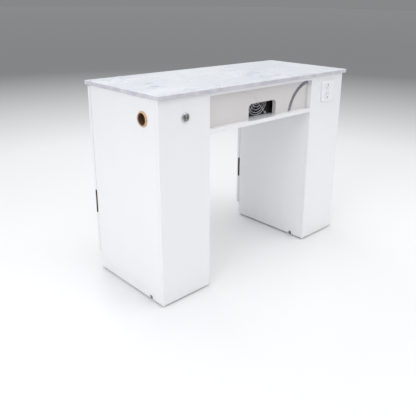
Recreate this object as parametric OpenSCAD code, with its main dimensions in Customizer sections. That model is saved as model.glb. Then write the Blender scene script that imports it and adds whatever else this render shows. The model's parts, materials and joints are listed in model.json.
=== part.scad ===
// Manicure table: marble top on two cupboard pedestals joined by a shallow bridge.
// Units are millimetres. The origin is on the floor under the centre of the marble top.
// +X runs along the table, +Z is up, and the client sits on the -Y side.
// The cupboard doors and the drawer open towards +Y.

/* [Marble top] */
// Length of the marble top
table_w = 1047; // [1000:1:1150]
// Depth of the marble top
table_d = 442; // [436:1:460]
// Height of the top surface above the floor
table_h = 762; // [750:1:790]
// Thickness of the marble top
slab_t = 15; // [12:1:20]
// How far the marble passes the left pedestal
left_overhang = 6; // [6:1:15]
// How far the marble passes the right pedestal
right_overhang = 15; // [6:1:20]
// How far the marble passes the pedestal fronts
front_overhang = 10; // [8:1:14]

/* [Pedestals] */
// Width of each pedestal
pedestal_w = 223; // [210:1:240]
// Depth of a pedestal without its door
carcass_d = 407; // [400:1:408]
// Thickness of the boards
board_t = 15; // [15:1:16]
// Thickness of the boards directly under the marble
top_board_t = 12; // [12:1:15]
// Height of the glides under the boards
glide_h = 6; // [4:1:8]
// Height of the door's lower edge
door_bottom_z = 66; // [60:1:80]
// Underside of the lower shelf
lower_shelf_z = 285; // [240:1:320]
// Underside of the upper shelf
upper_shelf_z = 500; // [460:1:540]

/* [Door and drawer details] */
// Gap between a door and the boards behind it
door_gap = 2.3; // [2.2:0.1:3]
// Length of a finger pull
pull_len = 94; // [70:1:110]
// Middle height of the left door's finger pull
left_pull_z = 289; // [250:1:320]
// Middle height of the right door's finger pull
right_pull_z = 254; // [220:1:320]
// Width of the cord notch under a side panel
notch_w = 18; // [12:1:20]
// Height of the cord notch under a side panel
notch_h = 15; // [12:1:20]

/* [Bridge] */
// Underside of the bridge's shelf
bridge_z = 600; // [590:1:610]
// How far the fascia stands back from the pedestal fronts
fascia_setback = 22; // [15:1:26]
// Thickness of the fascia
fascia_t = 18; // [15:1:20]
// Width of the hand opening in the fascia
opening_w = 158; // [130:1:180]
// Height of the hand opening in the fascia
opening_h = 60; // [50:1:70]
// Radius of the hand opening's upper corners
opening_r = 18; // [8:1:24]
// How far the hand opening sits to the right of the middle
opening_x = 4; // [0:1:12]

/* [Fittings] */
// Height of the switch and the outlet
fittings_z = 677; // [665:1:685]
// Side of the square outlet plate
outlet_w = 86; // [84:1:90]
// Diameter of the switch's chrome ring
switch_d = 34; // [32:1:38]
// Diameter of the side grommet's flange
grommet_d = 54; // [52:1:60]
// Diameter of the side grommet's hole
grommet_bore_d = 42; // [38:1:44]

/* [Hidden] */
$fn = 64;
edge_cut = 0.6;
slab_edge_cut = 1.2;

// Heights
slab_z = table_h - slab_t;
top_board_z = slab_z - top_board_t;
shelf_top_z = bridge_z + board_t;
bottom_top_z = door_bottom_z + board_t;
bay_h = top_board_z - shelf_top_z;

// Depths
front_y = front_overhang - table_d / 2;
front_in_y = front_y + board_t;
rear_y = front_y + carcass_d;
door_y = rear_y + door_gap;
plinth_setback = 18;

// Lengths
left_x = left_overhang - table_w / 2;
right_x = table_w / 2 - right_overhang - pedestal_w;
gap_x0 = left_x + pedestal_w;
gap_x1 = right_x;
pedestal_xs = [left_x, right_x];

// Doors
door_top_z = slab_z - 5;
door_mid_z = (door_bottom_z + door_top_z) / 2;
pivot_in = 6;
pivot_back = 9;
pivot_pin_r = 2.5;
running_gap = 0.05;
pull_depth = 8;
pull_reach = 14;

// Pivot hinge plates
pivot_plate_t = 2.5;
pivot_drop = 3.6;
pivot_collar_h = 0.8;
pin_in_door = 12;
flange_t = 1.6;
flange_x0 = 16;
flange_x1 = 44;
flange_up = 13;
door_plate_len = 38;
door_plate_t = 2;
screw_r = 1.9;

// Magnetic catches
catch_len = 46;
catch_h = 13;
catch_d = 15;
catch_inset = 8;
catch_screw_in = 6;
catch_screw_r = 1.6;
magnet_in = 12;
magnet_rim = 4;
strike_t = 1.2;
strike_len = catch_len - 6;

// Shelves and their pins
shelf_side_gap = 0.5;
shelf_rear_gap = 12;
pin_r = 2.5;
pin_hole_r = 2.6;
pin_depth = 9;
pin_reach = 7;
pin_pitch = 32;
pin_ys = [front_in_y + 45, rear_y - 50];

// Cam joints between level boards and upright boards
cam_r = 7.4;
cam_hole_r = 7.5;
cam_inset = 24;
bolt_r = 3;
bolt_hole_r = 3.1;
bolt_bite = 10.5;
cupboard_cam_ys = [front_in_y + 70, rear_y - 60];
bridge_cam_ys = [front_y + 95, rear_y - 110];

// Each joint: the board's two ends, its underside, its thickness, and the depths of its cams
JOINTS = concat(
    [for (x = pedestal_xs)
        [x + board_t, x + pedestal_w - board_t, door_bottom_z, board_t, cupboard_cam_ys]],
    [for (x = pedestal_xs)
        [x + board_t, x + pedestal_w - board_t, top_board_z, top_board_t, cupboard_cam_ys]],
    [[gap_x0, gap_x1, bridge_z, board_t, bridge_cam_ys],
     [gap_x0, gap_x1, top_board_z, top_board_t, bridge_cam_ys]]);

// Floor glides
glide_r = 7;
glide_ys = [front_in_y + 25, rear_y - 25];

// Cord notches
notch_y = front_y + 72;

// Fascia decoration: an inlaid arc at the right and a fine engraved arc at the left
inlay_x = gap_x1 + 17;
inlay_z = shelf_top_z - 24;
inlay_r = 136;
inlay_w = 16;
inlay_depth = 2.5;
inlay_proud = 0.6;
fine_arc_x = -112;
fine_arc_z = shelf_top_z + 6;
fine_arc_r = 103;
fine_arc_w = 1.6;
fine_arc_depth = 0.8;
fascia_y = front_y + fascia_setback;

// Drawer
drawer_reveal = 3.5;
drawer_side_t = 12;
runner_space = 12.5;
drawer_x0 = gap_x0 + runner_space;
drawer_x1 = gap_x1 - runner_space;
drawer_y0 = rear_y - 292;
drawer_z0 = shelf_top_z + 9;
drawer_z1 = top_board_z - 21;
drawer_groove = 5;
drawer_bottom_t = 4;
drawer_bottom_z = drawer_z0 + 7;
drawer_front_z0 = bridge_z + 2;
drawer_pull_len = 140;
drawer_pull_depth = 8;
drawer_pull_up = 9;

// Drawer runners
runner_t = 1.2;
runner_len = 280;
runner_y0 = rear_y - 286;
rail_h = 36;
slide_h = 26;
rail_lip = 3;
rail_depth = 10;
slide_depth = 8;
runner_z = (drawer_z0 + drawer_z1) / 2;

// Fan
fan_w = 119;
fan_d = 38;
fan_flange_t = 4;
fan_bore_r = 56.5;
fan_tube_r = 58.5;
fan_x = opening_x;
fan_y = front_y + 60;
fan_z = shelf_top_z + fan_w / 2;
fan_hole_pitch = 105;
fan_hole_r = 2.3;
fan_corner_cut = 5;
fan_motor_h = 8;
fan_strut_w = 6;
fan_strut_t = 5;
fan_board_t = 3;
fan_groove = 4;
hub_r = 29;
hub_z = 3;
hub_h = 26;
blade_z = 5;
blade_h = 22;
blade_t = 2.2;
blade_size = 40;
shaft_len = 7;
blade_r = 54.5;
blade_count = 7;
blade_angle = 38;
shaft_r = 2.5;
guard_wire_r = 1;
guard_rings = [14, 25, 36, 47, 56];
guard_gap = 1.2;
guard_strip = 1.6;
guard_ear_r = 4.5;
guard_z = -fan_board_t - guard_gap - guard_wire_r;
guard_strip_z = guard_z + 0.4;
screw_head_r = 4;
screw_head_h = 2.1;

// Wire hole from the left pedestal to the fan
wire_hole_r = 8;
wire_hole_y = front_y + 100;
wire_hole_z = top_board_z - 20;

// Switch
switch_x = left_x + pedestal_w / 2;
switch_barrel_r = 12.5;
switch_bore_r = 11.15;
switch_button_r = 11;
switch_proud = 4.5;
switch_stem_r = 4;
barrel_len = 27;
button_len = 8;
button_crown = 6;
switch_nut_r = 17;
switch_nut_h = 4;
contact_w = 4.8;
contact_t = 0.8;
contact_len = 8;

// Outlet
outlet_x = right_x + pedestal_w / 2;
outlet_proud = 7;
outlet_corner = 12;
outlet_wall = 2.5;
box_w = 74;
box_wall = 2;
box_depth = 42;
socket_pitch = 38.9;
socket_face_r = 17.2;
socket_face_h = 28.4;
earth_pitch = 53;
earth_r = 3.2;
slot_from_earth = 11.9;
slot_pitch = 12.7;
slot_w = 2.2;
slot_h = 8;
contact_depth = 14;
plate_bevel = 1.2;
socket_body = [40, 66];
socket_body_depth = 24;
yoke_t = 1.5;
yoke_z = 0.3;
yoke_size = [72, 18];
yoke_screw_pitch = 60.3;
yoke_hole_r = 2;
box_post_r = 4.5;
box_post_len = 22;
box_entry_r = 8;

// Side grommet
grommet_y = front_y + 85;
grommet_z = 674;
grommet_proud = 5.5;
grommet_wall = 2.8;
grommet_edge = 0.8;
grommet_lip = 2.4;
grommet_rim_t = 1.8;
grommet_tail = 3;

// ---- Shared shapes ----

// Rectangle from a to b with its corners cut at 45 degrees
module cut_rect(a, b, c) {
    polygon([[a.x + c, a.y], [b.x - c, a.y], [b.x, a.y + c], [b.x, b.y - c],
             [b.x - c, b.y], [a.x + c, b.y], [a.x, b.y - c], [a.x, a.y + c]]);
}

// Board between two opposite corners, with a small chamfer on every edge
module board(lo, hi, c = edge_cut) {
    intersection() {
        translate([0, 0, lo.z])
            linear_extrude(hi.z - lo.z)
                cut_rect([lo.x, lo.y], [hi.x, hi.y], c);
        translate([0, hi.y, 0])
            rotate([90, 0, 0])
                linear_extrude(hi.y - lo.y)
                    cut_rect([lo.x, lo.z], [hi.x, hi.z], c);
        translate([lo.x, 0, 0])
            rotate([90, 0, 90])
                linear_extrude(hi.x - lo.x)
                    cut_rect([lo.y, lo.z], [hi.y, hi.z], c);
    }
}

// Plain block between two opposite corners
module block(lo, hi) {
    translate(lo)
        cube(hi - lo);
}

// Rod along X, Y or Z that starts at p
module rod_x(p, r, h) {
    translate(p)
        rotate([0, 90, 0])
            cylinder(r = r, h = h);
}

module rod_y(p, r, h) {
    translate(p)
        rotate([-90, 0, 0])
            cylinder(r = r, h = h);
}

module rod_z(p, r, h) {
    translate(p)
        cylinder(r = r, h = h);
}

// Square with round corners, centred
module round_square(w, r) {
    square([w, w - 2 * r], center = true);
    square([w - 2 * r, w], center = true);
    for (sx = [-1, 1], sy = [-1, 1])
        translate([sx * (w / 2 - r), sy * (w / 2 - r)])
            circle(r = r);
}

// ---- Cam joints ----

// Where the two ends of a joint's board are, and which way points into the board
function joint_ends(j) = [[j[0], 1], [j[1], -1]];

module joint_holes_in_level_board(j) {
    for (e = joint_ends(j), y = j[4]) {
        rod_z([e[0] + e[1] * cam_inset, y, j[2] - 1], cam_hole_r, j[3] - 2);
        translate([e[0], y, j[2] + j[3] / 2])
            rotate([0, e[1] * 90, 0])
                translate([0, 0, -1])
                    cylinder(r = bolt_hole_r, h = cam_inset);
    }
}

module joint_holes_in_uprights() {
    for (j = JOINTS, e = joint_ends(j), y = j[4])
        translate([e[0], y, j[2] + j[3] / 2])
            rotate([0, -e[1] * 90, 0])
                cylinder(r = bolt_hole_r, h = bolt_bite + 0.5);
}

module cam_discs() {
    color("lightgray")
        for (j = JOINTS, e = joint_ends(j), y = j[4])
            translate([e[0] + e[1] * cam_inset, y, j[2] + 0.3])
                difference() {
                    cylinder(r = cam_r, h = j[3] - 3.6);
                    for (turn = [0, 90])
                        rotate([0, 0, turn])
                            translate([-4.5, -0.9, -1])
                                cube([9, 1.8, 3.5]);
                }
}

module cam_bolts() {
    color("silver")
        for (j = JOINTS, e = joint_ends(j), y = j[4])
            translate([e[0] - e[1] * bolt_bite, y, j[2] + j[3] / 2])
                rotate([0, e[1] * 90, 0])
                    cylinder(r = bolt_r, h = bolt_bite + cam_inset - cam_r - 0.3);
}

// ---- Marble top ----

module marble_top() {
    color("whitesmoke")
        board([-table_w / 2, -table_d / 2, slab_z], [table_w / 2, table_d / 2, table_h], slab_edge_cut);
}

// ---- Pedestals: x is the pedestal's low-x face ----

// Shelf pin holes on one face of an upright; dir is +1 when the face looks towards +X
module pin_holes(face_x, dir) {
    for (z = [lower_shelf_z, upper_shelf_z], y = pin_ys, step = [-1, 0, 1])
        translate([face_x, y, z - pin_r + step * pin_pitch])
            rotate([0, -dir * 90, 0])
                translate([0, 0, -1])
                    cylinder(r = pin_hole_r, h = pin_depth + 1.5);
}

module cord_notch(x) {
    rod_x([x - 1, notch_y, glide_h + notch_h - notch_w / 2], notch_w / 2, board_t + 2);
    block([x - 1, notch_y - notch_w / 2, glide_h - 1],
          [x + board_t + 1, notch_y + notch_w / 2, glide_h + notch_h - notch_w / 2]);
}

module upright(x) {
    board([x, front_in_y, glide_h], [x + board_t, rear_y, slab_z]);
}

// Side on the low-x face of a pedestal, with the cord notch
module low_side(x) {
    difference() {
        upright(x);
        cord_notch(x);
        pin_holes(x + board_t, 1);
        joint_holes_in_uprights();
    }
}

// Side on the high-x face of a pedestal
module high_side(x) {
    difference() {
        upright(x + pedestal_w - board_t);
        pin_holes(x + pedestal_w - board_t, -1);
        joint_holes_in_uprights();
    }
}

module left_outer_side() {
    color("white")
        difference() {
            low_side(left_x);
            rod_x([left_x - 1, grommet_y, grommet_z], grommet_bore_d / 2 + grommet_wall + 0.2, board_t + 2);
        }
}

module left_inner_side() {
    color("white")
        difference() {
            high_side(left_x);
            rod_x([gap_x0 - board_t - 1, wire_hole_y, wire_hole_z], wire_hole_r, board_t + 2);
            fan_board_groove();
        }
}

module right_inner_side() {
    color("white")
        difference() {
            low_side(right_x);
            fan_board_groove();
        }
}

module right_outer_side() {
    color("white")
        high_side(right_x);
}

module front_panel(x) {
    board([x, front_y, glide_h], [x + pedestal_w, front_in_y, slab_z]);
}

module left_front_panel() {
    color("white")
        difference() {
            front_panel(left_x);
            rod_y([switch_x, front_y - 1, fittings_z], switch_barrel_r + 0.1, board_t + 2);
        }
}

module right_front_panel() {
    color("white")
        difference() {
            front_panel(right_x);
            block([outlet_x - box_w / 2 - 0.5, front_y - 1, fittings_z - box_w / 2 - 0.5],
                  [outlet_x + box_w / 2 + 0.5, front_in_y + 1, fittings_z + box_w / 2 + 0.5]);
        }
}

// Level board between the two sides of a pedestal
module level_panel(x, z, t) {
    board([x + board_t, front_in_y, z], [x + pedestal_w - board_t, rear_y, z + t]);
}

module bottom_panel(k) {
    color("white")
        difference() {
            level_panel(pedestal_xs[k], door_bottom_z, board_t);
            joint_holes_in_level_board(JOINTS[k]);
            pivot_screw_holes(pedestal_xs[k]);
        }
}

module top_panel(k) {
    color("white")
        difference() {
            level_panel(pedestal_xs[k], top_board_z, top_board_t);
            joint_holes_in_level_board(JOINTS[k + 2]);
            pivot_screw_holes(pedestal_xs[k]);
        }
}

module plinth(x) {
    color("white")
        board([x + board_t, rear_y - plinth_setback - board_t, glide_h],
              [x + pedestal_w - board_t, rear_y - plinth_setback, door_bottom_z]);
}

module shelf(x, z) {
    color("white")
        board([x + board_t + shelf_side_gap, front_in_y + 1, z],
              [x + pedestal_w - board_t - shelf_side_gap, rear_y - shelf_rear_gap, z + board_t]);
}

// Door: a full overlay board with a finger pull milled into its low-x inner edge
module door(x, pull_z) {
    color("white")
        difference() {
            board([x, door_y, door_bottom_z], [x + pedestal_w, door_y + board_t, door_top_z]);
            block([x - 1, door_y - 1, pull_z - pull_len / 2 + pull_reach],
                  [x + pull_reach, door_y + pull_depth, pull_z + pull_len / 2 - pull_reach]);
            for (s = [-1, 1])
                rod_y([x, door_y - 1, pull_z + s * (pull_len / 2 - pull_reach)], pull_reach, pull_depth + 1);
            at_both_door_ends() {
                translate([0, 0, door_bottom_z - 1])
                    linear_extrude(door_plate_t + 1)
                        door_plate_outline(x, 5);
                rod_z([pivot_x(x), pivot_y(), door_bottom_z - 1], pivot_pin_r + 0.4, pin_in_door + 3);
            }
        }
}

function pivot_x(x) = x + pedestal_w - pivot_in;
function pivot_y() = door_y + pivot_back;

// Draws its children at the door's lower end, and mirrored at its upper end
module at_both_door_ends() {
    children();
    translate([0, 0, 2 * door_mid_z])
        mirror([0, 0, 1])
            children();
}

// Outline of the plate let into the door's end: a bar with two round ends
module door_plate_outline(x, end_r) {
    bar_y = pivot_y() - 1.5;
    for (dx = [0, door_plate_len - 10])
        translate([pivot_x(x) - dx, bar_y])
            circle(r = end_r);
    translate([pivot_x(x) - door_plate_len + 10, bar_y - end_r])
        square([door_plate_len - 10, 2 * end_r]);
}

module door_pivot_plates(x) {
    color("silver")
        at_both_door_ends()
            translate([0, 0, door_bottom_z])
                linear_extrude(door_plate_t)
                    difference() {
                        door_plate_outline(x, 4.9);
                        translate([pivot_x(x), pivot_y()])
                            circle(r = pivot_pin_r + running_gap);
                    }
}

// Fixed hinge plates: a leaf past the door's end and a flange on the board behind the door
module pivot_plates(x) {
    leaf_z = door_bottom_z - pivot_drop;
    flange_lo_x = x + pedestal_w - flange_x1;
    flange_hi_x = x + pedestal_w - flange_x0;
    color("silver")
        at_both_door_ends()
            difference() {
                union() {
                    block([flange_lo_x, rear_y + 0.1, leaf_z],
                          [flange_hi_x, rear_y + 0.1 + flange_t, leaf_z + flange_up]);
                    block([flange_lo_x, rear_y + 0.1, leaf_z],
                          [x + pedestal_w - 1.5, pivot_y() + 4, leaf_z + pivot_plate_t]);
                }
                rod_z([pivot_x(x), pivot_y(), leaf_z - 1], pivot_pin_r, pivot_plate_t + 2);
                for (sx = screw_xs(x))
                    rod_y([sx, rear_y - 1, screw_z()], screw_r, 4);
            }
}

function screw_xs(x) = [x + pedestal_w - flange_x1 + 7, x + pedestal_w - flange_x0 - 7];
function screw_z() = door_bottom_z + 3;

module pivot_pins(x) {
    leaf_z = door_bottom_z - pivot_drop;
    color("gainsboro")
        at_both_door_ends() {
            rod_z([pivot_x(x), pivot_y(), leaf_z], pivot_pin_r, pivot_drop + pin_in_door);
            rod_z([pivot_x(x), pivot_y(), leaf_z + pivot_plate_t], 4.2, pivot_collar_h);
        }
}

// Screws that hold the fixed hinge plates: thin heads in the gap and shanks in the board
module pivot_screws() {
    color("gainsboro")
        for (x = pedestal_xs)
            at_both_door_ends()
                for (sx = screw_xs(x)) {
                    rod_y([sx, rear_y - 14, screw_z()], screw_r - 0.2, 14.1 + flange_t);
                    rod_y([sx, rear_y + 0.1 + flange_t, screw_z()], 2.6, 0.25);
                }
}

// Holes for those screws in the boards behind the door
module pivot_screw_holes(x) {
    at_both_door_ends()
        for (sx = screw_xs(x))
            rod_y([sx, rear_y - 14.5, screw_z()], screw_r - 0.1, 16);
}

// Magnetic catch under the top panel, near the door's free edge, with a recess for its magnet
module door_catch(x) {
    catch_x = x + board_t + catch_inset;
    catch_z = top_board_z - catch_h;
    color("white")
        difference() {
            block([catch_x, rear_y - catch_d, catch_z],
                  [catch_x + catch_len, rear_y + 0.7, top_board_z]);
            for (dx = [catch_screw_in, catch_len - catch_screw_in])
                rod_z([catch_x + dx, rear_y - catch_d / 2, catch_z - 1], catch_screw_r, catch_h + 2);
            block([catch_x + magnet_in, rear_y - 1, catch_z + magnet_rim],
                  [catch_x + catch_len - magnet_in, rear_y + 2, top_board_z - magnet_rim]);
        }
}

module catch_strike(x) {
    strike_x = x + board_t + catch_inset + 3;
    color("silver")
        board([strike_x, door_y - strike_t, top_board_z - catch_h + 1],
              [strike_x + strike_len, door_y, top_board_z - 1], 0.3);
}

// Shelf pins: a rod in the side and a flat tongue under the shelf
module shelf_pins() {
    color("silver")
        for (x = pedestal_xs, z = [lower_shelf_z, upper_shelf_z], y = pin_ys,
             s = [[x + board_t, 1], [x + pedestal_w - board_t, -1]])
            translate([s[0], y, z - pin_r])
                rotate([0, s[1] * 90, 0])
                    translate([0, 0, -pin_depth])
                        cylinder(r = pin_r, h = pin_depth + pin_reach);
}

module floor_glides() {
    color("dimgray")
        for (x = pedestal_xs, dx = [board_t / 2, pedestal_w - board_t / 2], y = glide_ys)
            translate([x + dx, y, 0]) {
                cylinder(r1 = glide_r - 1, r2 = glide_r, h = 1.5);
                translate([0, 0, 1.5])
                    cylinder(r = glide_r, h = glide_h - 1.5);
            }
}

// ---- Bridge ----

module bridge_shelf() {
    color("white")
        difference() {
            board([gap_x0, front_y, bridge_z], [gap_x1, rear_y, shelf_top_z]);
            joint_holes_in_level_board(JOINTS[4]);
        }
}

module bridge_top_board() {
    color("white")
        difference() {
            board([gap_x0, front_y, top_board_z], [gap_x1, rear_y, slab_z]);
            joint_holes_in_level_board(JOINTS[5]);
        }
}

// Flat ring between two radii
module ring_2d(r, w) {
    difference() {
        circle(r = r + w / 2, $fn = 180);
        circle(r = r - w / 2, $fn = 180);
    }
}

// Puts a drawing of the XZ plane onto the fascia, t deep from the depth y
module on_fascia(y, t) {
    translate([0, y + t, 0])
        rotate([90, 0, 0])
            linear_extrude(t)
                children();
}

// Inlay outline, w wide, kept margin inside the fascia's edges
module inlay_2d(w, margin) {
    intersection() {
        translate([inlay_x, inlay_z])
            ring_2d(inlay_r, w);
        translate([gap_x1 - 2 * inlay_r, shelf_top_z + margin])
            square([2 * inlay_r - margin, bay_h - 2 * margin]);
    }
}

module fine_arc_2d() {
    intersection() {
        translate([fine_arc_x, fine_arc_z])
            ring_2d(fine_arc_r, fine_arc_w);
        translate([fine_arc_x, shelf_top_z + opening_h - 10])
            square([fine_arc_r + 10, bay_h - opening_h]);
    }
}

// Hand opening: open at the bottom, with round upper corners
module opening_2d() {
    translate([opening_x, shelf_top_z]) {
        translate([-opening_w / 2, -5])
            square([opening_w, opening_h - opening_r + 5]);
        translate([-opening_w / 2 + opening_r, 0])
            square([opening_w - 2 * opening_r, opening_h]);
        for (s = [-1, 1])
            translate([s * (opening_w / 2 - opening_r), opening_h - opening_r])
                circle(r = opening_r);
    }
}

module fascia_panel() {
    color("silver")
        difference() {
            board([gap_x0, fascia_y, shelf_top_z], [gap_x1, fascia_y + fascia_t, top_board_z], 0.4);
            on_fascia(fascia_y - 1, fascia_t + 2)
                opening_2d();
            on_fascia(fascia_y - 1, inlay_depth + 1)
                inlay_2d(inlay_w, 0);
            on_fascia(fascia_y - 1, fine_arc_depth + 1)
                fine_arc_2d();
        }
}

module fascia_inlay() {
    color("slategray")
        on_fascia(fascia_y - inlay_proud, inlay_depth + inlay_proud)
            inlay_2d(inlay_w - 0.2, 0.2);
}

// ---- Drawer ----

module drawer_front() {
    front_x0 = gap_x0 + drawer_reveal;
    front_x1 = gap_x1 - drawer_reveal;
    color("white")
        difference() {
            board([front_x0, door_y, drawer_front_z0], [front_x1, door_y + board_t, door_top_z]);
            block([-drawer_pull_len / 2, door_y - 1, drawer_front_z0 - 1],
                  [drawer_pull_len / 2, door_y + drawer_pull_depth, drawer_front_z0 + drawer_pull_up]);
        }
}

// Groove for the drawer's bottom, all round its frame
module drawer_bottom_groove() {
    block([drawer_x0 + drawer_side_t - drawer_groove - 0.2, drawer_y0 + drawer_side_t - drawer_groove - 0.2,
           drawer_bottom_z - 0.1],
          [drawer_x1 - drawer_side_t + drawer_groove + 0.2, door_y + 1,
           drawer_bottom_z + drawer_bottom_t + 0.1]);
}

module drawer_side(x) {
    color("white")
        difference() {
            board([x, drawer_y0, drawer_z0], [x + drawer_side_t, door_y, drawer_z1]);
            drawer_bottom_groove();
        }
}

module drawer_left_side() {
    drawer_side(drawer_x0);
}

module drawer_right_side() {
    drawer_side(drawer_x1 - drawer_side_t);
}

module drawer_back() {
    color("white")
        difference() {
            board([drawer_x0 + drawer_side_t, drawer_y0, drawer_z0],
                  [drawer_x1 - drawer_side_t, drawer_y0 + drawer_side_t, drawer_z1]);
            drawer_bottom_groove();
        }
}

module drawer_bottom() {
    inset = drawer_side_t - drawer_groove;
    color("white")
        block([drawer_x0 + inset, drawer_y0 + inset, drawer_bottom_z],
              [drawer_x1 - inset, door_y, drawer_bottom_z + drawer_bottom_t]);
}

// Fixed rail's section: a web on the pedestal, and two arms with short lips
module rail_2d() {
    for (s = [0, 1])
        mirror([0, s])
            polygon([[0, 0], [runner_t, 0], [runner_t, rail_h / 2 - runner_t],
                     [rail_depth - runner_t, rail_h / 2 - runner_t],
                     [rail_depth - runner_t, rail_h / 2 - rail_lip],
                     [rail_depth, rail_h / 2 - rail_lip], [rail_depth, rail_h / 2], [0, rail_h / 2]]);
}

// Sliding member's section: a web on the drawer, and two arms towards the rail
module slide_2d() {
    for (s = [0, 1])
        mirror([0, s])
            polygon([[0, 0], [-runner_t, 0], [-runner_t, slide_h / 2 - runner_t],
                     [-slide_depth, slide_h / 2 - runner_t], [-slide_depth, slide_h / 2], [0, slide_h / 2]]);
}

// Runs a section along Y; flip turns it to face the other way
module runner(x, flip) {
    translate([x, runner_y0 + runner_len, runner_z])
        mirror([flip, 0, 0])
            rotate([90, 0, 0])
                linear_extrude(runner_len)
                    children();
}

module drawer_rails() {
    color("silver") {
        runner(gap_x0, 0)
            rail_2d();
        runner(gap_x1, 1)
            rail_2d();
    }
}

module drawer_slides() {
    color("silver") {
        runner(drawer_x0, 0)
            slide_2d();
        runner(drawer_x1, 1)
            slide_2d();
    }
}

// ---- Fan ----

// Places children with Z along the fan's axis, pointing to the rear, from the fan's front face
module at_fan() {
    translate([fan_x, fan_y, fan_z])
        rotate([-90, 0, 0])
            children();
}

module at_fan_corners() {
    for (sx = [-1, 1], sy = [-1, 1])
        translate([sx * fan_hole_pitch / 2, sy * fan_hole_pitch / 2, 0])
            children();
}

module fan_frame() {
    motor_z = fan_d - fan_motor_h;
    color("black")
        at_fan()
            difference() {
                union() {
                    difference() {
                        union() {
                            for (z = [0, fan_d - fan_flange_t])
                                translate([0, 0, z])
                                    linear_extrude(fan_flange_t)
                                        cut_rect([-fan_w / 2, -fan_w / 2], [fan_w / 2, fan_w / 2],
                                                 fan_corner_cut);
                            cylinder(r = fan_tube_r, h = fan_d);
                        }
                        translate([0, 0, -1])
                            cylinder(r = fan_bore_r, h = fan_d + 2);
                    }
                    translate([0, 0, motor_z])
                        cylinder(r = hub_r - 2, h = fan_motor_h);
                    for (turn = [45, 135])
                        rotate([0, 0, turn])
                            translate([-fan_bore_r - 1, -fan_strut_w / 2, fan_d - fan_strut_t])
                                cube([2 * fan_bore_r + 2, fan_strut_w, fan_strut_t]);
                }
                translate([0, 0, motor_z - 1])
                    cylinder(r = shaft_r + running_gap, h = shaft_len);
                at_fan_corners()
                    translate([0, 0, -1])
                        cylinder(r = fan_hole_r, h = fan_d + 2);
            }
}

module fan_rotor() {
    color("dimgray")
        at_fan() {
            translate([0, 0, hub_z])
                cylinder(r = hub_r, h = hub_h);
            translate([0, 0, hub_z + hub_h - 1])
                cylinder(r = shaft_r, h = shaft_len);
            intersection() {
                for (k = [0 : blade_count - 1])
                    rotate([0, 0, k * 360 / blade_count])
                        translate([hub_r - 2, 0, blade_z + blade_h / 2])
                            rotate([blade_angle, 0, 0])
                                translate([0, -blade_t / 2, -blade_size / 2])
                                    cube([blade_size, blade_t, blade_size]);
                translate([0, 0, blade_z])
                    difference() {
                        cylinder(r = blade_r, h = blade_h);
                        translate([0, 0, -1])
                            cylinder(r = hub_r - 1, h = blade_h + 2);
                    }
            }
        }
}

// Rings of round wire on four flat strips, with an ear at the end of each strip
module fan_guard() {
    strip_len = fan_hole_pitch / sqrt(2) - guard_rings[0] - 2;
    color("silver")
        at_fan() {
            translate([0, 0, guard_z])
                for (r = guard_rings)
                    rotate_extrude()
                        translate([r, 0])
                            circle(r = guard_wire_r, $fn = 24);
            for (turn = [45 : 90 : 315])
                rotate([0, 0, turn])
                    translate([guard_rings[0] - 1, -guard_strip / 2, guard_strip_z])
                        cube([strip_len, guard_strip, guard_strip]);
            at_fan_corners()
                translate([0, 0, guard_strip_z])
                    difference() {
                        cylinder(r = guard_ear_r, h = guard_strip);
                        translate([0, 0, -1])
                            cylinder(r = fan_hole_r, h = guard_strip + 2);
                    }
        }
}

// Screws through the guard's ears and the board into the fan's corners
module fan_screws() {
    head_z = guard_strip_z - 0.1 - screw_head_h;
    color("silver")
        at_fan()
            at_fan_corners() {
                translate([0, 0, head_z])
                    cylinder(r = screw_head_r, h = screw_head_h);
                translate([0, 0, head_z + 1])
                    cylinder(r = fan_hole_r - 0.3, h = fan_d - head_z - 1);
            }
}

// Thin black board that carries the fan, let into a groove in each inner side
module fan_board() {
    color("black")
        difference() {
            block([gap_x0 - fan_groove + 0.2, fan_y - fan_board_t, shelf_top_z],
                  [gap_x1 + fan_groove - 0.2, fan_y, top_board_z]);
            at_fan()
                translate([0, 0, -fan_board_t - 1]) {
                    cylinder(r = fan_bore_r, h = fan_board_t + 2);
                    at_fan_corners()
                        cylinder(r = fan_hole_r, h = fan_board_t + 2);
                }
        }
}

// Space that the two inner sides leave for that board
module fan_board_groove() {
    block([gap_x0 - fan_groove, fan_y - fan_board_t - 0.1, shelf_top_z],
          [gap_x1 + fan_groove, fan_y + 0.1, top_board_z]);
}

// ---- Switch: Z runs into the pedestal from its front face ----

module at_switch() {
    translate([switch_x, front_y, fittings_z])
        rotate([-90, 0, 0])
            children();
}

// Ring that steps down from a flat rim to the panel, on a threaded barrel
module switch_ring() {
    ring_r = switch_d / 2;
    color("silver")
        at_switch()
            rotate_extrude()
                polygon([[switch_bore_r, -switch_proud + 0.6], [switch_bore_r + 0.6, -switch_proud],
                         [ring_r - 3, -switch_proud], [ring_r - 1, -switch_proud + 0.8],
                         [ring_r, -switch_proud + 2.4], [ring_r, 0], [switch_barrel_r, 0],
                         [switch_barrel_r, barrel_len], [switch_bore_r, barrel_len]]);
}

// Button with a low crown, and the stem behind it
module switch_button() {
    color("gray")
        at_switch() {
            rotate_extrude()
                polygon([[0, -button_crown], [7.5, -button_crown + 0.2],
                         [switch_button_r - 0.8, -button_crown + 0.7],
                         [switch_button_r, -button_crown + 1.4],
                         [switch_button_r, button_len], [0, button_len]]);
            translate([0, 0, button_len - 1])
                cylinder(r = switch_stem_r, h = contact_len + 1);
        }
}

module switch_nut() {
    color("silver")
        at_switch()
            translate([0, 0, board_t])
                difference() {
                    cylinder(r = switch_nut_r, h = switch_nut_h, $fn = 6);
                    translate([0, 0, -1])
                        cylinder(r = switch_barrel_r + 0.1, h = switch_nut_h + 2);
                }
}

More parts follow.
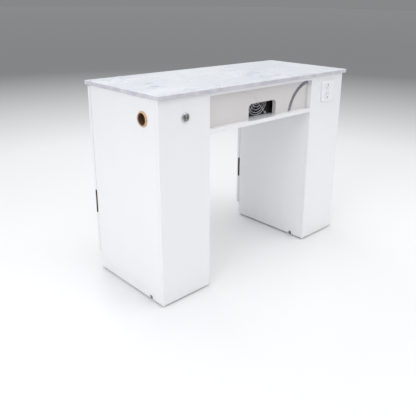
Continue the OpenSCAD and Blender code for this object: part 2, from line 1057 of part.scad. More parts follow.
// Contact block in the barrel, with a well for the stem and two blades at its rear end
module switch_block() {
    block_z = button_len + 3;
    block_end = barrel_len + 10;
    color("black")
        at_switch() {
            difference() {
                translate([0, 0, block_z])
                    cylinder(r = switch_bore_r - 0.1, h = block_end - block_z);
                translate([0, 0, block_z - 1])
                    cylinder(r = switch_stem_r + 0.2, h = contact_len + 1.5);
            }
            for (s = [-1, 1])
                translate([s * 5 - contact_t / 2, -contact_w / 2, block_end - 1])
                    cube([contact_t, contact_w, contact_len]);
        }
}

// ---- Outlet: Z runs out of the pedestal from its front face ----

module at_outlet() {
    translate([outlet_x, front_y, fittings_z])
        rotate([90, 0, 0])
            children();
}

// Face of one socket: a circle with a flat top and bottom
module socket_face_2d(grow) {
    intersection() {
        circle(r = socket_face_r + grow);
        square([60, socket_face_h + 2 * grow], center = true);
    }
}

module at_sockets() {
    for (s = [-1, 1])
        translate([0, s * socket_pitch / 2, 0])
            children();
}

module outlet_plate() {
    color("white")
        at_outlet()
            difference() {
                union() {
                    linear_extrude(outlet_proud - plate_bevel)
                        round_square(outlet_w, outlet_corner);
                    linear_extrude(outlet_proud)
                        round_square(outlet_w - 3, outlet_corner - 1.5);
                }
                translate([0, 0, -1])
                    linear_extrude(outlet_proud - outlet_wall + 1)
                        round_square(outlet_w - 6, outlet_corner - 3);
                at_sockets()
                    linear_extrude(outlet_proud + 1)
                        socket_face_2d(0.3);
            }
}

// Two sockets in one body on a level yoke; their earth holes are at the outer ends
module outlet_sockets() {
    slot_z = earth_pitch / 2 - slot_from_earth;
    color("white")
        at_outlet()
            difference() {
                union() {
                    translate([-socket_body.x / 2, -socket_body.y / 2, -socket_body_depth])
                        cube([socket_body.x, socket_body.y, socket_body_depth + 2.5]);
                    translate([-yoke_size.x / 2, -yoke_size.y / 2, yoke_z])
                        cube([yoke_size.x, yoke_size.y, yoke_t]);
                    at_sockets()
                        linear_extrude(outlet_proud + 0.4)
                            socket_face_2d(0);
                }
                for (s = [-1, 1]) {
                    translate([0, s * earth_pitch / 2, outlet_proud - contact_depth])
                        cylinder(r = earth_r, h = contact_depth + 2);
                    for (sx = [-1, 1])
                        translate([sx * slot_pitch / 2 - slot_w / 2, s * slot_z - slot_h / 2,
                                   outlet_proud - contact_depth])
                            cube([slot_w, slot_h, contact_depth + 2]);
                    translate([s * yoke_screw_pitch / 2, 0, -1])
                        cylinder(r = yoke_hole_r, h = 5);
                }
            }
}

// Open box in the pedestal's front, with a post for each yoke screw and a cable entry below
module outlet_box() {
    inner_w = box_w - 2 * box_wall;
    color("gainsboro")
        at_outlet()
            difference() {
                union() {
                    difference() {
                        translate([-box_w / 2, -box_w / 2, -box_depth])
                            cube([box_w, box_w, box_depth]);
                        translate([-inner_w / 2, -inner_w / 2, -box_depth + box_wall])
                            cube([inner_w, inner_w, box_depth]);
                    }
                    for (s = [-1, 1])
                        translate([s * yoke_screw_pitch / 2, 0, -box_post_len])
                            linear_extrude(box_post_len) {
                                circle(r = box_post_r);
                                translate([s > 0 ? 0 : -6, -3])
                                    square([6, 6]);
                            }
                }
                for (s = [-1, 1])
                    translate([s * yoke_screw_pitch / 2, 0, 2 - box_post_len])
                        cylinder(r = yoke_hole_r - 0.2, h = box_post_len);
                translate([0, -box_w / 2 - 1, -box_depth / 2])
                    rotate([-90, 0, 0])
                        cylinder(r = box_entry_r, h = box_wall + 2);
            }
}

module outlet_screws() {
    head_z = yoke_z + yoke_t;
    color("silver")
        at_outlet()
            for (s = [-1, 1])
                translate([s * yoke_screw_pitch / 2, 0, 0]) {
                    translate([0, 0, head_z])
                        cylinder(r = 3.4, h = 1.8);
                    translate([0, 0, -17])
                        cylinder(r = yoke_hole_r - 0.4, h = head_z + 17.2);
                }
}

// ---- Side grommet ----

// A flange that thins outwards, and a tube through the side panel
module side_grommet() {
    bore_r = grommet_bore_d / 2;
    rim_r = grommet_d / 2;
    tube_r = bore_r + grommet_wall;
    tube_end = board_t + grommet_tail;
    color("tan")
        translate([left_x, grommet_y, grommet_z])
            rotate([0, 90, 0])
                rotate_extrude()
                    polygon([[bore_r, -grommet_proud + grommet_edge],
                             [bore_r + grommet_edge, -grommet_proud],
                             [bore_r + grommet_lip, -grommet_proud],
                             [rim_r - grommet_edge, -grommet_rim_t],
                             [rim_r, -grommet_rim_t + grommet_edge], [rim_r, 0],
                             [tube_r, 0], [tube_r, tube_end], [bore_r, tube_end]]);
}

// ---- Assembly ----

marble_top();
left_outer_side();
left_inner_side();
left_front_panel();
bottom_panel(0);  // left_bottom_panel
plinth(left_x);  // left_plinth
top_panel(0);  // left_top_panel
shelf(left_x, lower_shelf_z);  // left_lower_shelf
shelf(left_x, upper_shelf_z);  // left_upper_shelf
door(left_x, left_pull_z);  // left_door
pivot_plates(left_x);  // left_pivot_plates
pivot_pins(left_x);  // left_pivot_pins
door_pivot_plates(left_x);  // left_door_pivot_plates
door_catch(left_x);  // left_door_catch
catch_strike(left_x);  // left_catch_strike
right_inner_side();
right_outer_side();
right_front_panel();
bottom_panel(1);  // right_bottom_panel
plinth(right_x);  // right_plinth
top_panel(1);  // right_top_panel
shelf(right_x, lower_shelf_z);  // right_lower_shelf
shelf(right_x, upper_shelf_z);  // right_upper_shelf
door(right_x, right_pull_z);  // right_door
pivot_plates(right_x);  // right_pivot_plates
pivot_pins(right_x);  // right_pivot_pins
door_pivot_plates(right_x);  // right_door_pivot_plates
door_catch(right_x);  // right_door_catch
catch_strike(right_x);  // right_catch_strike
shelf_pins();
floor_glides();
cam_discs();
cam_bolts();
pivot_screws();
bridge_shelf();
bridge_top_board();
fascia_panel();
fascia_inlay();
drawer_front();
drawer_left_side();
drawer_right_side();
drawer_back();
drawer_bottom();
drawer_rails();
drawer_slides();
fan_frame();
fan_rotor();
fan_guard();
fan_screws();
fan_board();
switch_ring();
switch_button();
switch_nut();
switch_block();
outlet_plate();
outlet_sockets();
outlet_box();
outlet_screws();
side_grommet();
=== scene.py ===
"""Looks of the manicure table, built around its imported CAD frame. Metres, in the CAD model's own frame."""

import json
import math

import bmesh
import bpy
from mathutils import Matrix, Vector


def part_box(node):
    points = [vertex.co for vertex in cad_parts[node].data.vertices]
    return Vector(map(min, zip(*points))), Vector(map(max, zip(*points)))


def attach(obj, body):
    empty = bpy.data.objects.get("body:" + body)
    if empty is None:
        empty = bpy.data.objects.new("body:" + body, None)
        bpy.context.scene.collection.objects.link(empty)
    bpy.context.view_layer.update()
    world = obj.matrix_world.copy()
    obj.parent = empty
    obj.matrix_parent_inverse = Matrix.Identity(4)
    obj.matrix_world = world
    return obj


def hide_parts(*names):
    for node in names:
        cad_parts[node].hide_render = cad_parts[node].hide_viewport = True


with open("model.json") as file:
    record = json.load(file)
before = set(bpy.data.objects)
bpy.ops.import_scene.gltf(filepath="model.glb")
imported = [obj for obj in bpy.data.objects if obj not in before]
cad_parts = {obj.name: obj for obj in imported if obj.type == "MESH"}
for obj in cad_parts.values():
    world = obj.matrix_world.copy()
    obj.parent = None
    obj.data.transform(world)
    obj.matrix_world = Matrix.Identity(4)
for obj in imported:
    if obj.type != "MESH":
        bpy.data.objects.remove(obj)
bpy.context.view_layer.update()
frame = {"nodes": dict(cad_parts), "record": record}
scene = bpy.context.scene
NODES = frame["nodes"]


# ---------------------------------------------------------------- shader helpers

# Sockets of a Mix node that is set to colours
MIX_SHARE, MIX_A, MIX_B, MIX_RESULT = 0, 6, 7, 2


class Shader:
    """One material and short calls that add nodes to it. Places are object coordinates, in metres."""

    def __init__(self, name):
        self.material = bpy.data.materials.new(name)
        self.material.use_nodes = True
        self.nodes = self.material.node_tree.nodes
        self.links = self.material.node_tree.links
        self.surface = self.nodes["Principled BSDF"]
        self.place = self.nodes.new("ShaderNodeTexCoord").outputs["Object"]

    def put(self, socket, value):
        """Links an output into a socket, or sets a plain value on it."""
        if isinstance(value, bpy.types.NodeSocket):
            self.links.new(value, socket)
        elif isinstance(value, tuple) and len(value) == 3 and socket.type == "RGBA":
            socket.default_value = (*value, 1)
        else:
            socket.default_value = value

    def set(self, **values):
        """Sets the surface's own sockets by name, with _ for a space."""
        for name, value in values.items():
            self.put(self.surface.inputs[name.replace("_", " ")], value)

    def math(self, operation, a, b=0.0):
        """One step of arithmetic on outputs or plain numbers."""
        node = self.nodes.new("ShaderNodeMath")
        node.operation = operation
        self.put(node.inputs[0], a)
        self.put(node.inputs[1], b)
        return node.outputs[0]

    def stretched(self, scale):
        """The place, scaled by a different number along each axis."""
        node = self.nodes.new("ShaderNodeMapping")
        self.put(node.inputs["Vector"], self.place)
        node.inputs["Scale"].default_value = scale
        return node.outputs[0]

    def noise(self, scale, detail=2.0, roughness=0.5, source=None):
        """A noise from 0 to 1 with its middle near 0.5, read at the place or at another vector."""
        node = self.nodes.new("ShaderNodeTexNoise")
        self.put(node.inputs["Vector"], source or self.place)
        node.inputs["Scale"].default_value = scale
        node.inputs["Detail"].default_value = detail
        node.inputs["Roughness"].default_value = roughness
        return node.outputs[0]

    def span(self, value, low, high, out_low=0.0, out_high=1.0):
        """Moves a value from one range to another, held at its ends."""
        node = self.nodes.new("ShaderNodeMapRange")
        self.put(node.inputs["Value"], value)
        numbers = {"From Min": low, "From Max": high, "To Min": out_low, "To Max": out_high}
        for name, number in numbers.items():
            node.inputs[name].default_value = number
        return node.outputs[0]

    def mix(self, share, a, b):
        """Mixes two colours: a where share is 0, b where it is 1."""
        node = self.nodes.new("ShaderNodeMix")
        node.data_type = "RGBA"
        self.put(node.inputs[MIX_SHARE], share)
        self.put(node.inputs[MIX_A], a)
        self.put(node.inputs[MIX_B], b)
        return node.outputs[MIX_RESULT]

    def axis(self, letter):
        """One coordinate of the place."""
        node = self.nodes.new("ShaderNodeSeparateXYZ")
        self.links.new(self.place, node.inputs[0])
        return node.outputs[letter]

    def bump(self, height, distance):
        """Joins a relief to the surface, distance being its full height in metres."""
        node = self.nodes.new("ShaderNodeBump")
        node.inputs["Distance"].default_value = distance
        self.put(node.inputs["Height"], height)
        self.put(self.surface.inputs["Normal"], node.outputs[0])

    def within(self, low, high):
        """1 inside the box between two corners, and 0 outside it."""
        inside = 1.0
        for letter, least, most in zip("XYZ", low, high):
            coordinate = self.axis(letter)
            inside = self.math("MULTIPLY", inside, self.math("GREATER_THAN", coordinate, least))
            inside = self.math("MULTIPLY", inside, self.math("LESS_THAN", coordinate, most))
        return inside

    def upward(self):
        """How far the surface faces up or down: 1 on a level face and 0 on an upright one."""
        facing = self.nodes.new("ShaderNodeSeparateXYZ")
        self.links.new(self.nodes.new("ShaderNodeTexCoord").outputs["Normal"], facing.inputs[0])
        return self.math("ABSOLUTE", facing.outputs["Z"])

    def edges(self, radius):
        """1 on the worn line along a piece's edges, and 0 away from them."""
        bevel = self.nodes.new("ShaderNodeBevel")
        bevel.samples = 4
        bevel.inputs["Radius"].default_value = radius
        plain = self.nodes.new("ShaderNodeNewGeometry")
        dot = self.nodes.new("ShaderNodeVectorMath")
        dot.operation = "DOT_PRODUCT"
        self.links.new(bevel.outputs[0], dot.inputs[0])
        self.links.new(plain.outputs["Normal"], dot.inputs[1])
        return self.span(dot.outputs["Value"], 0.995, 0.86)


# ---------------------------------------------------------------- materials


WHITE_COOL = (0.855, 0.86, 0.88)
WHITE_WARM = (0.875, 0.875, 0.885)
DUST_TOP, DUST_FLOOR = 0.08, 0.004
MARBLE_DRIFT = 0.32
VEIN_ANGLE = 34


def lacquered_board(name="white_lacquer", groove_mdf_and_shade_box=None):
    """White gloss lacquer on fibreboard: faint upright bands, thin worn edges and dust near the floor.

    Inside the box given by two corners, the bare brown fibreboard of a milled pull shows, painted much darker
    than bare fibreboard as painted shade deep in the groove."""
    s = Shader(name)
    bands = s.noise(7.0, 3.0, 0.55, s.stretched((1.0, 1.0, 0.05)))
    speck = s.noise(900.0, 2.0)
    base = s.mix(s.span(bands, 0.3, 0.7), WHITE_COOL, WHITE_WARM)
    base = s.mix(s.span(speck, 0.62, 0.75, 0.0, 0.05), base, (0.80, 0.80, 0.81))
    base = s.mix(s.math("MULTIPLY", s.edges(0.0012), 0.35), base, (0.66, 0.65, 0.63))
    low_down = s.span(s.axis("Z"), DUST_TOP, DUST_FLOOR)
    dust = s.math("MULTIPLY", low_down, s.span(s.noise(38.0, 4.0), 0.35, 0.75, 0.0, 0.35))
    base = s.mix(dust, base, (0.70, 0.68, 0.65))
    roughness = s.span(s.noise(300.0, 3.0), 0.2, 0.8, 0.275, 0.29)
    if groove_mdf_and_shade_box:
        groove_mdf_and_shade = s.within(*groove_mdf_and_shade_box)
        fibres = s.noise(1400.0, 4.0, 0.7, s.stretched((1.0, 1.0, 0.35)))
        # Painted shade: the groove's bare fibreboard gets a near-black brown, far darker than fibreboard, for
        # the shade deep inside the pull.
        brown = s.mix(s.span(fibres, 0.3, 0.7), (0.045, 0.026, 0.014), (0.13, 0.085, 0.05))
        base = s.mix(groove_mdf_and_shade, base, brown)
        roughness = s.math("MAXIMUM", roughness, s.math("MULTIPLY", groove_mdf_and_shade, 0.9))
    s.set(Base_Color=base, Roughness=roughness)
    s.set(Coat_Weight=0.7, Coat_Roughness=0.05)
    s.bump(s.noise(420.0, 2.0), 0.00001)
    return s


def marble():
    """Polished white marble: soft clouds, faint blue-grey veins, fine darker threads, and painted lilac-grey
    shade on its upright sides.
    """
    s = Shader("marble")
    warp = s.nodes.new("ShaderNodeVectorMath")
    warp.operation = "MULTIPLY_ADD"
    drift = s.nodes.new("ShaderNodeTexNoise")
    s.links.new(s.place, drift.inputs["Vector"])
    drift.inputs["Scale"].default_value = 3.1
    drift.inputs["Detail"].default_value = 5.0
    s.links.new(drift.outputs["Color"], warp.inputs[0])
    warp.inputs[1].default_value = (MARBLE_DRIFT,) * 3
    s.links.new(s.place, warp.inputs[2])
    bent = warp.outputs[0]
    slanted = s.nodes.new("ShaderNodeMapping")
    s.links.new(bent, slanted.inputs["Vector"])
    slanted.inputs["Rotation"].default_value = (0.0, 0.0, math.radians(VEIN_ANGLE))
    slanted.inputs["Scale"].default_value = (1.0, 2.6, 1.0)

    def vein(scale, width):
        """Thin lines where a noise crosses its middle value."""
        field = s.noise(scale, 4.0, 0.55, slanted.outputs[0])
        return s.span(s.math("ABSOLUTE", s.math("SUBTRACT", field, 0.5)), 0.0, width, 1.0, 0.0)

    wide = s.math("POWER", vein(3.4, 0.075), 2.0)
    thin = s.math("POWER", vein(6.5, 0.022), 1.5)
    patches = s.span(s.noise(2.2, 2.0, 0.5, bent), 0.42, 0.62, 0.15, 1.0)
    clouds = s.noise(5.0, 5.0, 0.6, bent)
    base = s.mix(s.span(clouds, 0.3, 0.75), (0.63, 0.66, 0.70), (0.74, 0.755, 0.775))
    base = s.mix(s.math("MULTIPLY", wide, s.math("MULTIPLY", patches, 0.55)), base, (0.46, 0.50, 0.58))
    base = s.mix(s.math("MULTIPLY", thin, s.math("MULTIPLY", patches, 0.75)), base, (0.36, 0.38, 0.45))
    grain = s.noise(700.0, 3.0, 0.6)
    base = s.mix(s.span(grain, 0.35, 0.7, 0.0, 0.04), base, (0.66, 0.68, 0.72))
    # Painted shade: upright faces, the slab's sides, are darkened to a lilac grey because they catch less
    # light than the top.
    rim = s.span(s.upward(), 0.9, 0.4, 0.0, 0.75)
    rim_painted_shade = s.mix(s.span(s.noise(26.0, 4.0), 0.35, 0.7), (0.50, 0.48, 0.55), (0.66, 0.63, 0.66))
    base = s.mix(rim, base, rim_painted_shade)
    s.set(Base_Color=base, Roughness=s.span(s.noise(24.0, 2.0), 0.2, 0.8, 0.25, 0.28))
    s.set(Specular_IOR_Level=0.3)
    s.bump(s.noise(60.0, 1.0), 0.000008)
    return s


def grey_gloss():
    """Warm grey gloss panel: fine pearl flakes, a slow change of tone and very faint polishing lines."""
    s = Shader("grey_gloss")
    tone = s.span(s.noise(2.4, 2.0), 0.3, 0.7)
    base = s.mix(tone, (0.68, 0.655, 0.65), (0.74, 0.715, 0.705))
    flakes = s.noise(1600.0, 1.0)
    base = s.mix(s.span(flakes, 0.6, 0.75, 0.0, 0.35), base, (0.82, 0.80, 0.80))
    base = s.mix(s.math("MULTIPLY", s.edges(0.001), 0.5), base, (0.30, 0.28, 0.27))
    lines = s.noise(60.0, 3.0, 0.6, s.stretched((0.25, 1.0, 9.0)))
    s.set(Base_Color=base, Roughness=s.span(lines, 0.3, 0.7, 0.24, 0.26), Metallic=0.06)
    s.set(Coat_Weight=0.35, Coat_Roughness=0.04)
    s.bump(s.noise(300.0, 2.0), 0.00001)
    return s


def metal(name, colours, roughness, brush, edge_colour=None, metallic=1.0):
    """A metal with brushing. brush is the stretch of its lines along X, Y and Z."""
    s = Shader(name)
    lines = s.noise(260.0, 4.0, 0.65, s.stretched(brush))
    mottle = s.noise(45.0, 4.0, 0.6)
    base = s.mix(s.span(mottle, 0.3, 0.7), colours[0], colours[1])
    base = s.mix(s.span(lines, 0.4, 0.8, 0.0, 0.4), base, tuple(0.75 * c for c in colours[0]))
    if edge_colour:
        base = s.mix(s.math("MULTIPLY", s.edges(0.0008), 0.7), base, edge_colour)
    s.set(Base_Color=base, Roughness=s.span(lines, 0.25, 0.75, *roughness), Metallic=metallic)
    s.bump(lines, 0.00003)
    return s


def moulded(name, dark, light, roughness, texture, edge_colour=None, relief=0.00008, painted_shade_mask=None, shade=None):
    """A moulded plastic. texture is the scale of its grain. Where the mask function given for painted shade
    is 1, the colour is that painted shade.
    """
    s = Shader(name)
    base = s.mix(s.span(s.noise(18.0, 3.0), 0.3, 0.7), dark, light)
    spark = s.noise(texture, 3.0, 0.6)
    bright = tuple(min(1.0, c * 1.1 + 0.005) for c in light)
    base = s.mix(s.span(spark, 0.5, 0.8, 0.0, 0.25), base, bright)
    if edge_colour:
        base = s.mix(s.math("MULTIPLY", s.edges(0.0008), 0.6), base, edge_colour)
    # Painted shade: inside holes and bores the colour is swapped for a dark one.
    if painted_shade_mask:
        base = s.mix(painted_shade_mask(s), base, shade)
    s.set(Base_Color=base, Roughness=s.span(spark, 0.3, 0.7, *roughness))
    s.bump(spark, relief)
    return s


def liner_board():
    """Thin white-faced fibreboard with a dry, slightly fibrous face."""
    s = Shader("white_liner")
    base = s.mix(s.span(s.noise(6.0, 4.0), 0.3, 0.7), (0.80, 0.795, 0.78), (0.86, 0.855, 0.84))
    fibres = s.noise(500.0, 4.0, 0.7, s.stretched((0.3, 1.0, 1.0)))
    base = s.mix(s.span(fibres, 0.5, 0.8, 0.0, 0.3), base, (0.68, 0.66, 0.62))
    s.set(Base_Color=base, Roughness=s.span(fibres, 0.3, 0.7, 0.42, 0.6))
    s.bump(fibres, 0.00006)
    return s


GROMMET_BORE_WALL = 0.0222
GROMMET_SHADE_DEPTH = 0.0035
SOCKET_SHADE_DEPTH = 0.0011


def grommet_bore_shade_mask(s):
    """1 on the wall of the grommet's bore, behind its flange, where painted shade darkens the tan plastic."""
    low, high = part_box("side_grommet")
    y = s.math("SUBTRACT", s.axis("Y"), (low[1] + high[1]) / 2)
    z = s.math("SUBTRACT", s.axis("Z"), (low[2] + high[2]) / 2)
    squared = s.math("ADD", s.math("MULTIPLY", y, y), s.math("MULTIPLY", z, z))
    near_axis = s.math("LESS_THAN", squared, GROMMET_BORE_WALL ** 2)
    return s.math("MULTIPLY", near_axis, s.math("GREATER_THAN", s.axis("X"), low[0] + GROMMET_SHADE_DEPTH))


def socket_holes_shade_mask(s):
    """1 in the slots and earth holes, behind the faces of the two sockets, where they are painted near-black
    as shade.
    """
    return s.math("GREATER_THAN", s.axis("Y"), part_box("outlet_sockets")[0][1] + SOCKET_SHADE_DEPTH)


EVEN = (1.0, 1.0, 1.0)
BRIGHT_EDGE = (0.85, 0.85, 0.86)
LOOKS = {
    "marble": marble(),
    "white_board": lacquered_board(),
    "white_liner": liner_board(),
    "fascia_gloss": grey_gloss(),
    # Partly a black finish, partly painted shade: far darker than black paint, for the shade in the bay
    # behind the fascia's cut-out.
    "black_board": moulded(
        "black_board", (0.006, 0.006, 0.007), (0.012, 0.012, 0.013), (0.5, 0.7), 500.0),
    "inlay_metal": metal(
        "inlay_metal", ((0.30, 0.29, 0.33), (0.40, 0.39, 0.43)), (0.22, 0.38), (0.3, 1.0, 1.0)),
    "plated_steel": metal(
        "plated_steel", ((0.58, 0.59, 0.62), (0.72, 0.72, 0.71)), (0.24, 0.42), EVEN, BRIGHT_EDGE),
    "runner_steel": metal(
        "runner_steel", ((0.60, 0.62, 0.65), (0.74, 0.75, 0.76)), (0.22, 0.36), (1.0, 0.05, 1.0),
        BRIGHT_EDGE),
    "chrome": metal(
        "chrome", ((0.46, 0.46, 0.48), (0.58, 0.58, 0.60)), (0.06, 0.14), EVEN),
    # Painted light: the guard wire, chrome by its slot, gets a near-white colour so it shows bright inside
    # the shaded fan bay.
    "guard_wire_painted_light": metal(
        "guard_wire_painted_light", ((0.80, 0.80, 0.82), (0.90, 0.90, 0.92)), (0.2, 0.34), EVEN, metallic=0.35),
    "switch_face": metal(
        "switch_face", ((0.17, 0.155, 0.15), (0.26, 0.24, 0.235)), (0.18, 0.32), EVEN),
    "fan_black": moulded(
        "fan_black", (0.012, 0.012, 0.014), (0.025, 0.025, 0.028), (0.32, 0.50), 800.0,
        (0.10, 0.10, 0.11)),
    "black_plastic": moulded(
        "black_plastic", (0.014, 0.014, 0.016), (0.026, 0.026, 0.030), (0.38, 0.55), 1100.0,
        (0.08, 0.08, 0.09)),
    "grey_plastic": moulded(
        "grey_plastic", (0.42, 0.42, 0.43), (0.52, 0.52, 0.53), (0.42, 0.60), 900.0,
        (0.45, 0.45, 0.46)),
    "white_plastic": moulded(
        "white_plastic", (0.83, 0.83, 0.87), (0.89, 0.89, 0.92), (0.22, 0.34), 1200.0,
        (0.80, 0.80, 0.82), 0.00001),
    # The grommet's bore wall is painted dark brown: painted shade inside the hole.
    "tan_plastic": moulded(
        "tan_plastic", (0.52, 0.33, 0.19), (0.64, 0.44, 0.28), (0.28, 0.42), 700.0,
        (0.74, 0.56, 0.39), painted_shade_mask=grommet_bore_shade_mask, shade=(0.17, 0.095, 0.05)),
    # The sockets' slots and earth holes are painted near-black: painted shade inside the holes.
    "socket_plastic": moulded(
        "socket_plastic", (0.80, 0.80, 0.84), (0.87, 0.87, 0.90), (0.24, 0.36), 1200.0,
        (0.80, 0.80, 0.82), 0.00001, socket_holes_shade_mask, (0.02, 0.02, 0.022)),
}


PULL_LENGTH, PULL_REACH = 0.0942, 0.0143
DRAWER_PULL_WIDTH, DRAWER_PULL_HEIGHT = 0.14, 0.009
PULL_SKIN, PULL_DEPTH, PULL_OUTSIDE = 0.0004, 0.0083, 0.001
HAIR = 0.0001


def pull_box(node, centre_z):
    """The corners of the groove milled into the inner edge of a door."""
    (x, y, _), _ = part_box(node)
    low = (x - PULL_OUTSIDE, y + PULL_SKIN, centre_z - PULL_LENGTH / 2)
    return low, (x + PULL_REACH, y + PULL_DEPTH, centre_z + PULL_LENGTH / 2)


def drawer_pull_box():
    """The corners of the groove milled into the drawer front's lower inner edge."""
    (_, y, z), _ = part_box("drawer_front")
    half = DRAWER_PULL_WIDTH / 2 + HAIR
    return (-half, y + PULL_SKIN, z - PULL_OUTSIDE), (half, y + PULL_DEPTH, z + DRAWER_PULL_HEIGHT + 2 * HAIR)


BY_NODE = {
    "left_door": lacquered_board("left_door_lacquer", pull_box("left_door", 0.289)),
    "right_door": lacquered_board("right_door_lacquer", pull_box("right_door", 0.254)),
    "drawer_front": lacquered_board("drawer_lacquer", drawer_pull_box()),
}


def dress_cad_nodes():
    """Gives every CAD node the look of its material slot, and a few nodes a look of their own."""
    for part in frame["record"]["subparts"]:
        look = BY_NODE.get(part["node"]) or LOOKS[part["material_slot"]]
        slots = NODES[part["node"]].data.materials
        slots.clear()
        slots.append(look.material)


# ---------------------------------------------------------------- mesh helpers

WELD = 1e-6
FILLET_SHARE = 0.45
QUADRANTS = ((1, 1), (-1, 1), (-1, -1), (1, -1))

def add_piece(name, vertices, faces, slot, body, node, smooth=40.0, look=None):
    """Makes a new piece from vertices and faces, in place of a CAD node."""
    mesh = bpy.data.meshes.new(name)
    mesh.from_pydata([tuple(v) for v in vertices], [], faces)
    mesh.validate()
    finish_piece(name, mesh, slot, body, node, smooth, look)


def finish_piece(name, mesh, slot, body, node, smooth=40.0, look=None):
    """Smooths a mesh up to an angle in degrees, gives it the look of its slot or its own look, ties it to its
    body and hides its CAD node.
    """
    work = bmesh.new()
    work.from_mesh(mesh)
    bmesh.ops.remove_doubles(work, verts=work.verts, dist=WELD)
    bmesh.ops.recalc_face_normals(work, faces=work.faces)
    for face in work.faces:
        face.smooth = True
    for edge in work.edges:
        edge.smooth = edge.is_manifold and edge.calc_face_angle(0.0) < math.radians(smooth)
    work.to_mesh(mesh)
    work.free()
    piece = bpy.data.objects.new(name, mesh)
    scene.collection.objects.link(piece)
    mesh.materials.append(LOOKS[look or slot].material)
    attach(piece, body)
    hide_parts(node)


def fillet(points, radius, steps=4, closed=True):
    """An outline with each corner rounded, as far as its two sides allow. An open one keeps its two ends."""
    rounded = []
    count = len(points)
    for k, point in enumerate(points):
        here = Vector(point)
        if not closed and k in (0, count - 1):
            rounded.append(here)
            continue
        before, after = Vector(points[k - 1]) - here, Vector(points[(k + 1) % count]) - here
        reach = min(radius, before.length * FILLET_SHARE, after.length * FILLET_SHARE)
        start, end = here + before.normalized() * reach, here + after.normalized() * reach
        for step in range(steps + 1):
            t = step / steps
            rounded.append((1 - t) ** 2 * start + 2 * t * (1 - t) * here + t ** 2 * end)
    return rounded


def axes(direction):
    """The unit vector along a direction, and two unit vectors across it."""
    along = Vector(direction).normalized()
    side = Vector((0, 0, 1)) if abs(along.z) < 0.9 else Vector((1, 0, 0))
    across = along.cross(side).normalized()
    return along, across, along.cross(across)


def lathe(outline, centre, direction, turns=96, closed=True):
    """Turns an outline of (radius, height) points about an axis.

    A closed outline makes a ring. An open one starts and ends on the axis and makes a solid."""
    along, across, other = axes(direction)
    vertices, faces = [], []
    count = len(outline)
    for k in range(turns):
        angle = 2 * math.pi * k / turns
        spoke = across * math.cos(angle) + other * math.sin(angle)
        for radius, height in outline:
            vertices.append(Vector(centre) + spoke * radius + along * height)
    for k in range(turns):
        following = (k + 1) % turns
        for n in range(count if closed else count - 1):
            m = (n + 1) % count
            faces.append((k * count + n, k * count + m, following * count + m, following * count + n))
    return vertices, faces


def loft(rings):
    """Skins equal rings of points, with flat ends."""
    vertices = [v for ring in rings for v in ring]
    count = len(rings[0])
    faces = []
    for k in range(len(rings) - 1):
        for n in range(count):
            m = (n + 1) % count
            faces.append((k * count + n, k * count + m, (k + 1) * count + m, (k + 1) * count + n))
    faces.append(tuple(range(count)))
    faces.append(tuple(range((len(rings) - 1) * count, len(rings) * count)))
    return vertices, faces


def joined(*parts):
    """One vertex and face list from several."""
    vertices, faces = [], []
    for more_vertices, more_faces in parts:
        start = len(vertices)
        vertices += more_vertices
        faces += [tuple(start + n for n in face) for face in more_faces]
    return vertices, faces


def round_square(half, radius, steps=8):
    """A square outline with round corners."""
    points = []
    for k, (sx, sy) in enumerate(QUADRANTS):
        for step in range(steps + 1):
            angle = math.pi / 2 * (k + step / steps)
            points.append((sx * (half - radius) + radius * math.cos(angle),
                           sy * (half - radius) + radius * math.sin(angle)))
    return points


def rounded_plate(outlines, thickness, edge):
    """A plate with holes and rounded edges, as a mesh in its own XY plane from 0 up to its thickness."""
    curve = bpy.data.curves.new("plate_outline", "CURVE")
    curve.dimensions = "2D"
    curve.fill_mode = "BOTH"
    for outline in outlines:
        spline = curve.splines.new("POLY")
        spline.points.add(len(outline) - 1)
        for point, (x, y) in zip(spline.points, outline):
            point.co = (x, y, 0.0, 1.0)
        spline.use_cyclic_u = True
    curve.extrude = thickness / 2 - edge
    curve.bevel_depth = edge
    curve.bevel_resolution = 3
    curve.offset = -edge
    holder = bpy.data.objects.new("plate_outline", curve)
    mesh = bpy.data.meshes.new_from_object(holder)
    bpy.data.objects.remove(holder)
    bpy.data.curves.remove(curve)
    mesh.transform(Matrix.Translation((0, 0, thickness / 2)))
    return mesh


# ---------------------------------------------------------------- detailed pieces


ALONG_X, ALONG_Y = (1, 0, 0), (0, 1, 0)


def corners(node):
    """The low and the high corner of a CAD node's box."""
    low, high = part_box(node)
    return Vector(low), Vector(high)


def middle(node):
    """The centre of a CAD node's box."""
    low, high = corners(node)
    return (low + high) / 2


def circle(sides):
    """The angles of a circle's corners."""
    return [2 * math.pi * k / sides for k in range(sides)]


def make_grommet():
    """A moulded grommet: a rounded flange that thins outwards, and a tube through the side panel."""
    low, high = corners("side_grommet")
    centre = middle("side_grommet")
    rim, bore, tube = (high.z - low.z) / 2, 0.021, 0.0238
    flange, length = 0.0055, high.x - low.x
    mouth, rim_width, rim_rise, rim_edge = 0.0024, 0.0016, 0.0018, 0.0012
    outline = [(bore, 0.0), (bore + mouth, 0.0), (rim - rim_width, flange - rim_rise),
               (rim, flange - rim_edge), (rim, flange), (tube, flange), (tube, length), (bore, length)]
    turned = lathe(fillet(outline, 0.0016, 5), (low.x, centre.y, centre.z), ALONG_X)
    add_piece("grommet", *turned, "tan_plastic", "carcass", "side_grommet")


def make_switch_ring():
    """A chrome ring with a rounded rim, and a barrel through the front panel."""
    low, high = corners("switch_ring")
    centre = middle("switch_ring")
    rim, bore, barrel = (high.z - low.z) / 2, 0.01115, 0.0125
    flange, length = 0.0045, high.y - low.y
    outline = [(bore, 0.0), (rim - 0.0028, 0.0), (rim - 0.0002, 0.0022), (rim, flange), (barrel, flange),
               (barrel, length), (bore, length)]
    turned = lathe(fillet(outline, 0.0011, 5), (centre.x, low.y, centre.z), ALONG_Y)
    add_piece("switch_ring_turned", *turned, "chrome", "carcass", "switch_ring")


